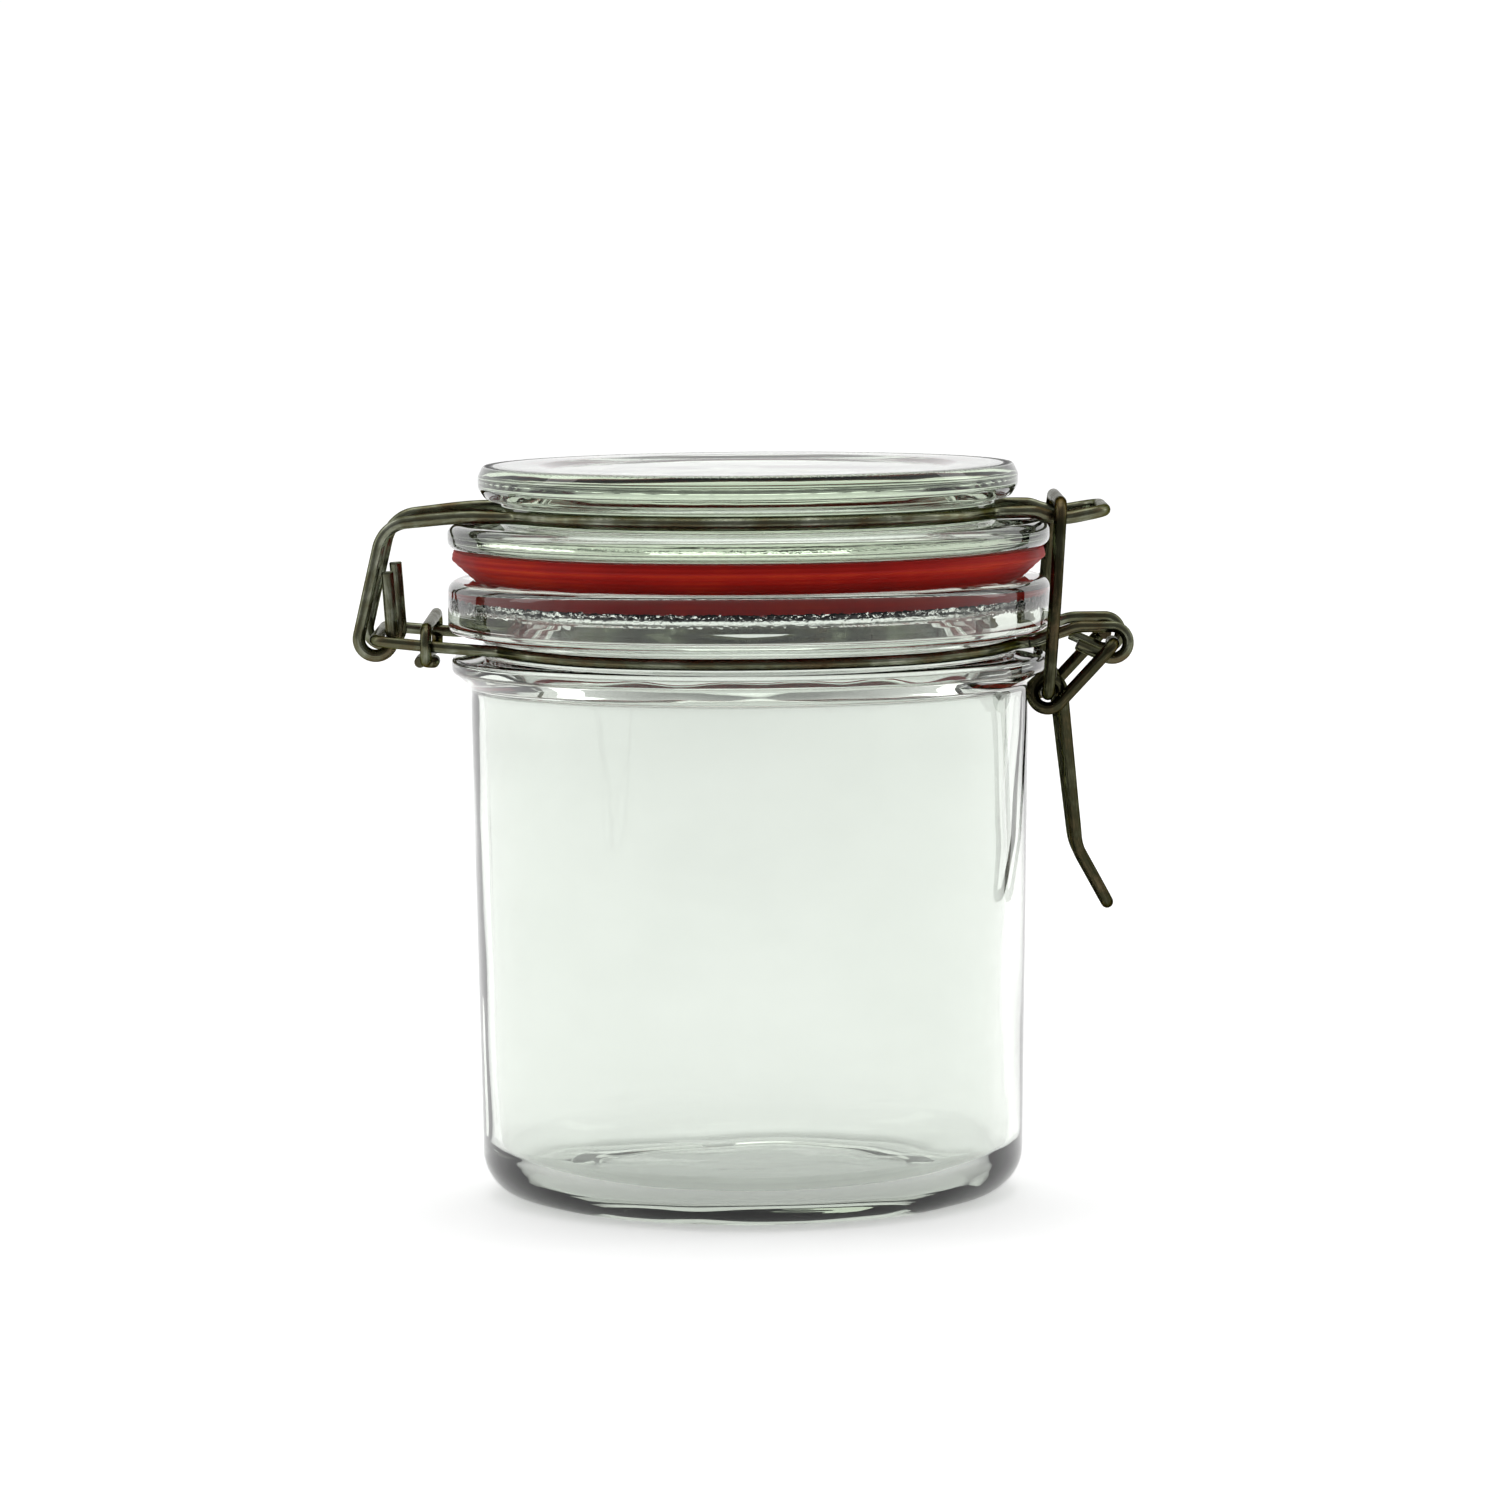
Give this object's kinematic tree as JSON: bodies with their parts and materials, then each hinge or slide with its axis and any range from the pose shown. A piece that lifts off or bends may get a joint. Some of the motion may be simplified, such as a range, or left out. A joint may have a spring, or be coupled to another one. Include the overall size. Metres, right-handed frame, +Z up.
{
  "type": "lidded glass canister",
  "caption": "Clear glass storage canister with a hinged glass lid, rubber sealing ring and bent-wire clip latch.",
  "frame": {"origin": "on the jar's axis, on the plane that its foot stands on", "axes": "+Z up along the jar's axis, +X towards the latch, -X towards the lid's hinge"},
  "size_m": [0.1275, 0.0992, 0.1205],
  "materials": {
    "jar_glass": "clear pressed glass with a faint green tint, glossy",
    "lid_glass": "clear pressed glass with a faint green tint, glossy, a ring of fine knurling on top",
    "sealing_rubber": "natural red rubber, satin",
    "band_steel": "galvanised wire, slightly tarnished",
    "bail_steel": "galvanised spring wire, slightly tarnished",
    "latch_steel": "galvanised spring wire, slightly tarnished"
  },
  "bodies": {
    "jar_body": {"jar": "jar_glass", "neck_band": "band_steel", "band_clip": "band_steel"},
    "bail_body": {"lid_bail": "bail_steel"},
    "lid_body": {"lid": "lid_glass", "gasket": "sealing_rubber"},
    "lever_body": {"latch_lever": "latch_steel"},
    "link_body": {"latch_link": "latch_steel"}
  },
  "joints": [
    {"name": "lid_hinge", "type": "hinge", "parent": "jar_body", "child": "bail_body", "pos_m": [-0.0609, 0, 0.093], "axis": [0, -1, 0], "range_deg": [0, 180]},
    {"name": "lid_turn", "type": "hinge", "parent": "bail_body", "child": "lid_body", "pos_m": [0, 0, 0.1129], "axis": [0, 0, 1], "continuous": true},
    {"name": "latch_lever_hinge", "type": "hinge", "parent": "jar_body", "child": "lever_body", "pos_m": [0.0593, 0, 0.0914], "axis": [0, -1, 0], "range_deg": [0, 150]},
    {"name": "latch_link_hinge", "type": "hinge", "parent": "lever_body", "child": "link_body", "pos_m": [0.0485, 0, 0.0835], "axis": [0, -1, 0], "range_deg": [-325, 0]}
  ],
  "couplings": [
    {"joint": "latch_link_hinge", "follows": "latch_lever_hinge", "ratio": -2.16}
  ]
}
